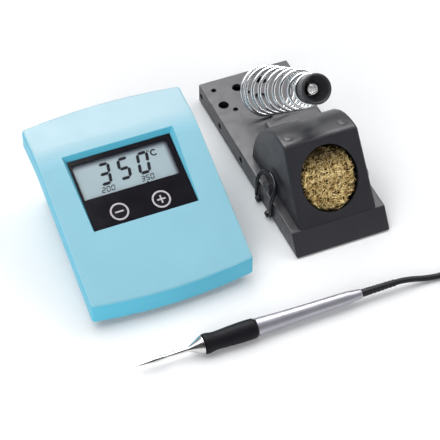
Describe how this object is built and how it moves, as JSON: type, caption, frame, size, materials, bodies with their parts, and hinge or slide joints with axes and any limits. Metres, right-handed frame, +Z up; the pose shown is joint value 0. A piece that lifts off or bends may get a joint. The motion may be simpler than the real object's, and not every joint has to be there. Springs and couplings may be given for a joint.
{
  "type": "soldering iron station",
  "caption": "Soldering iron station: a control unit with a temperature display, a stand with a wire spiral holder and brass wool cleaner, and a pencil iron on its cord.",
  "frame": {"origin": "on the supporting surface, under the middle of the three items taken together without the cord", "axes": "+X to the right along the control unit's front edge, +Y to the rear, +Z up"},
  "size_m": [0.2732, 0.2676, 0.097],
  "materials": {
    "blue_plastic": "satin light blue plastic",
    "black_gloss": "glossy black",
    "charcoal_plastic": "fine-grained charcoal plastic",
    "black_rubber": "matte black rubber",
    "bright_steel": "bright plated steel",
    "brass": "curled bright shavings",
    "copper_winding": "enamelled copper winding",
    "board_green": "green circuit board",
    "satin_silver": "satin silver",
    "clear_window": "clear window",
    "display_glass": "grey display"
  },
  "bodies": {
    "control_unit": {"upper_housing": "blue_plastic", "lower_housing": "blue_plastic", "display_panel": "black_gloss", "filter_capacitor": "black_gloss", "minus_switch": "charcoal_plastic", "plus_switch": "charcoal_plastic", "relay": "charcoal_plastic", "transformer_core": "charcoal_plastic", "power_inlet": "charcoal_plastic", "power_switch_body": "charcoal_plastic", "connector_shell": "charcoal_plastic", "cord_tie": "charcoal_plastic", "cord_lead": "black_rubber", "cord_end": "black_rubber", "cord_coil": "black_rubber", "connector_boot": "black_rubber", "unit_foot_front_left": "black_rubber", "unit_foot_front_right": "black_rubber", "unit_foot_rear_left": "black_rubber", "unit_foot_rear_right": "black_rubber", "heat_sink": "bright_steel", "iron_socket": "bright_steel", "connector_nose": "bright_steel", "board_screw_left": "bright_steel", "board_screw_right": "bright_steel", "housing_screw_front_left": "bright_steel", "housing_screw_front_right": "bright_steel", "housing_screw_rear_left": "bright_steel", "housing_screw_rear_right": "bright_steel", "transformer_coil": "copper_winding", "display_board": "board_green", "main_board": "board_green", "display_window": "clear_window", "lcd_module": "display_glass"},
    "minus_key": {"minus_key": "black_gloss"},
    "plus_key": {"plus_key": "black_gloss"},
    "rocker": {"power_rocker": "black_gloss"},
    "stand": {"stand_base": "charcoal_plastic", "ballast_plate": "bright_steel", "holder_bracket": "charcoal_plastic", "holder_spiral": "bright_steel", "holder_funnel": "charcoal_plastic", "funnel_sleeve": "bright_steel", "stand_foot_front_left": "black_rubber", "stand_foot_front_right": "black_rubber", "stand_foot_rear_left": "black_rubber", "stand_foot_rear_right": "black_rubber"},
    "left_clip": {"left_clip": "black_gloss"},
    "right_clip": {"right_clip": "black_gloss"},
    "hood": {"hood": "charcoal_plastic", "wool_tray": "charcoal_plastic"},
    "wool": {"brass_wool": "brass"},
    "pencil": {"grip": "black_rubber", "handle_tube": "satin_silver", "contact_socket": "charcoal_plastic", "cord_boot": "black_rubber"},
    "tip": {"tip_cartridge": "bright_steel"},
    "lock_ring": {"connector_ring": "bright_steel"}
  },
  "joints": [
    {"name": "minus_key_press", "type": "slide", "parent": "control_unit", "child": "minus_key", "axis": [0, 0.3256, -0.9455], "range_m": [0, 0.0005], "stiffness_N_per_m": 400},
    {"name": "plus_key_press", "type": "slide", "parent": "control_unit", "child": "plus_key", "axis": [0, 0.3256, -0.9455], "range_m": [0, 0.0005], "stiffness_N_per_m": 400},
    {"name": "power_rocker_tilt", "type": "hinge", "parent": "control_unit", "child": "rocker", "pos_m": [-0.0425, 0.05445, 0.022], "axis": [1, 0, 0], "range_deg": [-18, 0]},
    {"name": "stand_slide", "type": "slide", "parent": "control_unit", "child": "stand", "axis": [1, 0, 0], "range_m": [0, 0.05]},
    {"name": "left_clip_swing", "type": "hinge", "parent": "stand", "child": "left_clip", "pos_m": [0.0321, -0.00465, 0.0029], "axis": [0, -1, 0], "range_deg": [0, 70]},
    {"name": "right_clip_swing", "type": "hinge", "parent": "stand", "child": "right_clip", "pos_m": [0.0979, -0.00465, 0.0029], "axis": [0, 1, 0], "range_deg": [0, 70]},
    {"name": "hood_off", "type": "slide", "parent": "stand", "child": "hood", "axis": [0, -0.7627, 0.6468], "range_m": [0, 0.045]},
    {"name": "wool_pull", "type": "slide", "parent": "hood", "child": "wool", "axis": [0, -0.8367, 0.5477], "range_m": [0, 0.03]},
    {"name": "pencil_lift", "type": "slide", "parent": "control_unit", "child": "pencil", "axis": [0, 0, 1], "range_m": [0, 0.06]},
    {"name": "tip_pull", "type": "slide", "parent": "pencil", "child": "tip", "axis": [-1, 0, 0], "range_m": [0, 0.025]},
    {"name": "lock_ring_turn", "type": "hinge", "parent": "control_unit", "child": "lock_ring", "pos_m": [0.16775, -0.1563, 0.0056], "axis": [0, -1, 0], "range_deg": [0, 60]}
  ]
}
